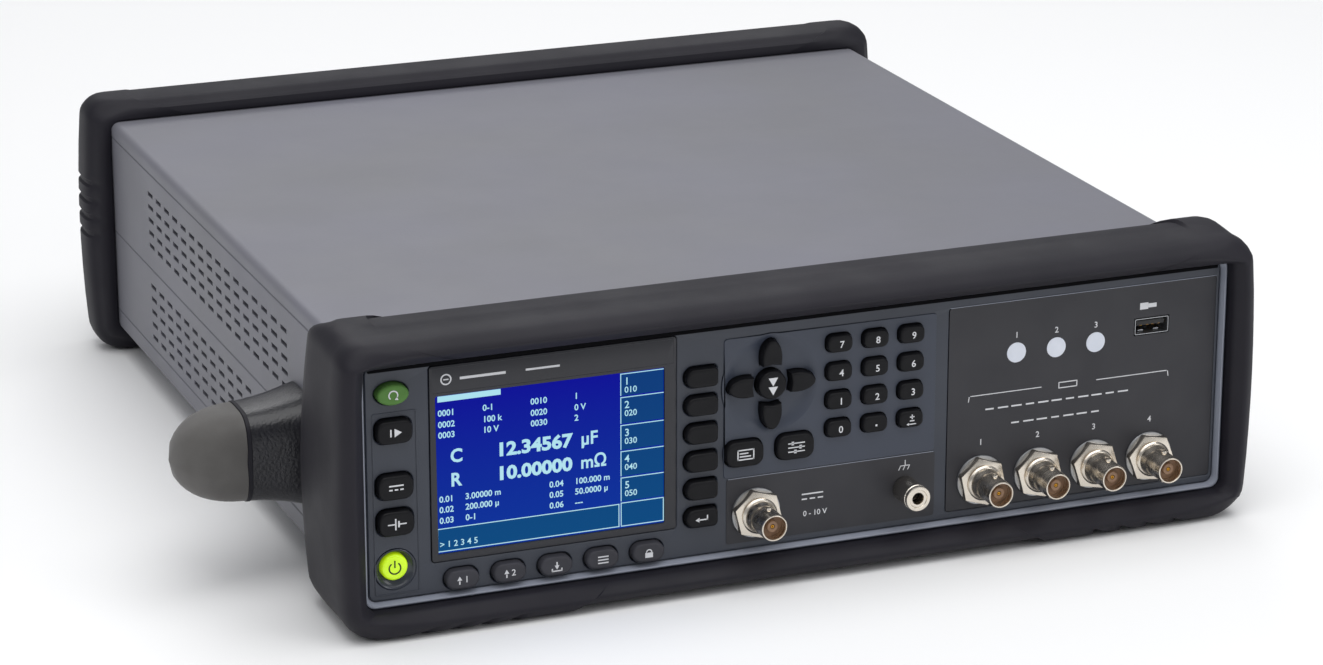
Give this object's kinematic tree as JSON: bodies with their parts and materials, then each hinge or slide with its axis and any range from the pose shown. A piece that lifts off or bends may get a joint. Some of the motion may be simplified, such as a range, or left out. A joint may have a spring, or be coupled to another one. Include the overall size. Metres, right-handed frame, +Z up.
{
  "type": "bench lcr meter",
  "caption": "Low, wide bench instrument with rubber end bumpers, a colour display, a front keypad, coaxial test terminals, a fan and a side carrying grip.",
  "frame": {"origin": "centre of the whole object's bounding box in X and Y, on the plane the feet rest on", "axes": "+Z up, front panel faces -Y, +X to the right seen from the front"},
  "size_m": [0.3766, 0.359, 0.105],
  "materials": {
    "bumper_rubber": "soft moulded rubber, satin",
    "grey_paint": "powder coat, fine texture, satin",
    "slate_plastic": "moulded, fine spark texture",
    "key_black": "moulded, satin",
    "key_grey": "moulded, satin",
    "key_green": "moulded, satin gloss",
    "key_lime": "translucent moulded, lit from behind",
    "plate_paint": "screen printed overlay, satin",
    "nickel": "nickel plated, bright",
    "zinc_steel": "zinc plated sheet",
    "lens_plastic": "clear coated window over a lit panel",
    "module_plastic": "moulded",
    "silicone": "moulded silicone",
    "circuit_board": "solder mask",
    "neck_plastic": "grained moulding with a slight gloss",
    "grip_rubber": "soft overmould, matt"
  },
  "bodies": {
    "instrument": {"chassis": "zinc_steel", "cover": "grey_paint", "display_module": "module_plastic", "display_window": "lens_plastic", "fan_frame": "module_plastic", "front_bezel": "slate_plastic", "front_bumper": "bumper_rubber", "ground_post": "nickel", "handle_grip": "grip_rubber", "handle_neck": "neck_plastic", "key_board": "circuit_board", "keypad_mat": "silicone", "main_board": "circuit_board", "power_inlet": "module_plastic", "power_supply": "circuit_board", "rear_bumper": "bumper_rubber", "rear_panel": "zinc_steel", "socket_dc_source": "nickel", "socket_high_current": "nickel", "socket_high_potential": "nickel", "socket_low_current": "nickel", "socket_low_potential": "nickel", "terminal_plate": "plate_paint", "usb_socket": "zinc_steel"},
    "fan_rotor": {"fan_rotor": "module_plastic"},
    "key_0": {"key_0": "key_black"},
    "key_1": {"key_1": "key_black"},
    "key_2": {"key_2": "key_black"},
    "key_3": {"key_3": "key_black"},
    "key_4": {"key_4": "key_black"},
    "key_5": {"key_5": "key_black"},
    "key_6": {"key_6": "key_black"},
    "key_7": {"key_7": "key_black"},
    "key_8": {"key_8": "key_black"},
    "key_9": {"key_9": "key_black"},
    "key_cursor_centre": {"key_cursor_centre": "key_black"},
    "key_cursor_down": {"key_cursor_down": "key_black"},
    "key_cursor_left": {"key_cursor_left": "key_black"},
    "key_cursor_right": {"key_cursor_right": "key_black"},
    "key_cursor_up": {"key_cursor_up": "key_black"},
    "key_dc_bias": {"key_dc_bias": "key_black"},
    "key_dc_source": {"key_dc_source": "key_black"},
    "key_display_format": {"key_display_format": "key_black"},
    "key_local": {"key_local": "key_grey"},
    "key_meas_setup": {"key_meas_setup": "key_black"},
    "key_point": {"key_point": "key_black"},
    "key_preset": {"key_preset": "key_green"},
    "key_recall_a": {"key_recall_a": "key_grey"},
    "key_recall_b": {"key_recall_b": "key_grey"},
    "key_return": {"key_return": "key_black"},
    "key_save": {"key_save": "key_grey"},
    "key_sign": {"key_sign": "key_black"},
    "key_system": {"key_system": "key_grey"},
    "key_trigger": {"key_trigger": "key_black"},
    "power_button": {"power_button": "key_lime"},
    "softkey_1": {"softkey_1": "key_black"},
    "softkey_2": {"softkey_2": "key_black"},
    "softkey_3": {"softkey_3": "key_black"},
    "softkey_4": {"softkey_4": "key_black"},
    "softkey_5": {"softkey_5": "key_black"}
  },
  "joints": [
    {"name": "press_0", "type": "slide", "parent": "instrument", "child": "key_0", "axis": [0, 1, 0], "range_m": [0, 0.001], "stiffness_N_per_m": 300},
    {"name": "press_1", "type": "slide", "parent": "instrument", "child": "key_1", "axis": [0, 1, 0], "range_m": [0, 0.001], "stiffness_N_per_m": 300},
    {"name": "press_2", "type": "slide", "parent": "instrument", "child": "key_2", "axis": [0, 1, 0], "range_m": [0, 0.001], "stiffness_N_per_m": 300},
    {"name": "press_3", "type": "slide", "parent": "instrument", "child": "key_3", "axis": [0, 1, 0], "range_m": [0, 0.001], "stiffness_N_per_m": 300},
    {"name": "press_4", "type": "slide", "parent": "instrument", "child": "key_4", "axis": [0, 1, 0], "range_m": [0, 0.001], "stiffness_N_per_m": 300},
    {"name": "press_5", "type": "slide", "parent": "instrument", "child": "key_5", "axis": [0, 1, 0], "range_m": [0, 0.001], "stiffness_N_per_m": 300},
    {"name": "press_6", "type": "slide", "parent": "instrument", "child": "key_6", "axis": [0, 1, 0], "range_m": [0, 0.001], "stiffness_N_per_m": 300},
    {"name": "press_7", "type": "slide", "parent": "instrument", "child": "key_7", "axis": [0, 1, 0], "range_m": [0, 0.001], "stiffness_N_per_m": 300},
    {"name": "press_8", "type": "slide", "parent": "instrument", "child": "key_8", "axis": [0, 1, 0], "range_m": [0, 0.001], "stiffness_N_per_m": 300},
    {"name": "press_9", "type": "slide", "parent": "instrument", "child": "key_9", "axis": [0, 1, 0], "range_m": [0, 0.001], "stiffness_N_per_m": 300},
    {"name": "press_cursor_centre", "type": "slide", "parent": "instrument", "child": "key_cursor_centre", "axis": [0, 1, 0], "range_m": [0, 0.001], "stiffness_N_per_m": 300},
    {"name": "press_cursor_down", "type": "slide", "parent": "instrument", "child": "key_cursor_down", "axis": [0, 1, 0], "range_m": [0, 0.001], "stiffness_N_per_m": 300},
    {"name": "press_cursor_left", "type": "slide", "parent": "instrument", "child": "key_cursor_left", "axis": [0, 1, 0], "range_m": [0, 0.001], "stiffness_N_per_m": 300},
    {"name": "press_cursor_right", "type": "slide", "parent": "instrument", "child": "key_cursor_right", "axis": [0, 1, 0], "range_m": [0, 0.001], "stiffness_N_per_m": 300},
    {"name": "press_cursor_up", "type": "slide", "parent": "instrument", "child": "key_cursor_up", "axis": [0, 1, 0], "range_m": [0, 0.001], "stiffness_N_per_m": 300},
    {"name": "press_dc_bias", "type": "slide", "parent": "instrument", "child": "key_dc_bias", "axis": [0, 1, 0], "range_m": [0, 0.001], "stiffness_N_per_m": 300},
    {"name": "press_dc_source", "type": "slide", "parent": "instrument", "child": "key_dc_source", "axis": [0, 1, 0], "range_m": [0, 0.001], "stiffness_N_per_m": 300},
    {"name": "press_display_format", "type": "slide", "parent": "instrument", "child": "key_display_format", "axis": [0, 1, 0], "range_m": [0, 0.001], "stiffness_N_per_m": 300},
    {"name": "press_local", "type": "slide", "parent": "instrument", "child": "key_local", "axis": [0, 1, 0], "range_m": [0, 0.001], "stiffness_N_per_m": 300},
    {"name": "press_meas_setup", "type": "slide", "parent": "instrument", "child": "key_meas_setup", "axis": [0, 1, 0], "range_m": [0, 0.001], "stiffness_N_per_m": 300},
    {"name": "press_point", "type": "slide", "parent": "instrument", "child": "key_point", "axis": [0, 1, 0], "range_m": [0, 0.001], "stiffness_N_per_m": 300},
    {"name": "press_preset", "type": "slide", "parent": "instrument", "child": "key_preset", "axis": [0, 1, 0], "range_m": [0, 0.001], "stiffness_N_per_m": 300},
    {"name": "press_recall_a", "type": "slide", "parent": "instrument", "child": "key_recall_a", "axis": [0, 1, 0], "range_m": [0, 0.001], "stiffness_N_per_m": 300},
    {"name": "press_recall_b", "type": "slide", "parent": "instrument", "child": "key_recall_b", "axis": [0, 1, 0], "range_m": [0, 0.001], "stiffness_N_per_m": 300},
    {"name": "press_return", "type": "slide", "parent": "instrument", "child": "key_return", "axis": [0, 1, 0], "range_m": [0, 0.001], "stiffness_N_per_m": 300},
    {"name": "press_save", "type": "slide", "parent": "instrument", "child": "key_save", "axis": [0, 1, 0], "range_m": [0, 0.001], "stiffness_N_per_m": 300},
    {"name": "press_sign", "type": "slide", "parent": "instrument", "child": "key_sign", "axis": [0, 1, 0], "range_m": [0, 0.001], "stiffness_N_per_m": 300},
    {"name": "press_system", "type": "slide", "parent": "instrument", "child": "key_system", "axis": [0, 1, 0], "range_m": [0, 0.001], "stiffness_N_per_m": 300},
    {"name": "press_trigger", "type": "slide", "parent": "instrument", "child": "key_trigger", "axis": [0, 1, 0], "range_m": [0, 0.001], "stiffness_N_per_m": 300},
    {"name": "press_power_button", "type": "slide", "parent": "instrument", "child": "power_button", "axis": [0, 1, 0], "range_m": [0, 0.001], "stiffness_N_per_m": 300},
    {"name": "press_soft1", "type": "slide", "parent": "instrument", "child": "softkey_1", "axis": [0, 1, 0], "range_m": [0, 0.001], "stiffness_N_per_m": 300},
    {"name": "press_soft2", "type": "slide", "parent": "instrument", "child": "softkey_2", "axis": [0, 1, 0], "range_m": [0, 0.001], "stiffness_N_per_m": 300},
    {"name": "press_soft3", "type": "slide", "parent": "instrument", "child": "softkey_3", "axis": [0, 1, 0], "range_m": [0, 0.001], "stiffness_N_per_m": 300},
    {"name": "press_soft4", "type": "slide", "parent": "instrument", "child": "softkey_4", "axis": [0, 1, 0], "range_m": [0, 0.001], "stiffness_N_per_m": 300},
    {"name": "press_soft5", "type": "slide", "parent": "instrument", "child": "softkey_5", "axis": [0, 1, 0], "range_m": [0, 0.001], "stiffness_N_per_m": 300},
    {"name": "fan_spin", "type": "hinge", "parent": "instrument", "child": "fan_rotor", "pos_m": [-0.07675, 0.1556, 0.0531], "axis": [0, 1, 0], "continuous": true}
  ]
}
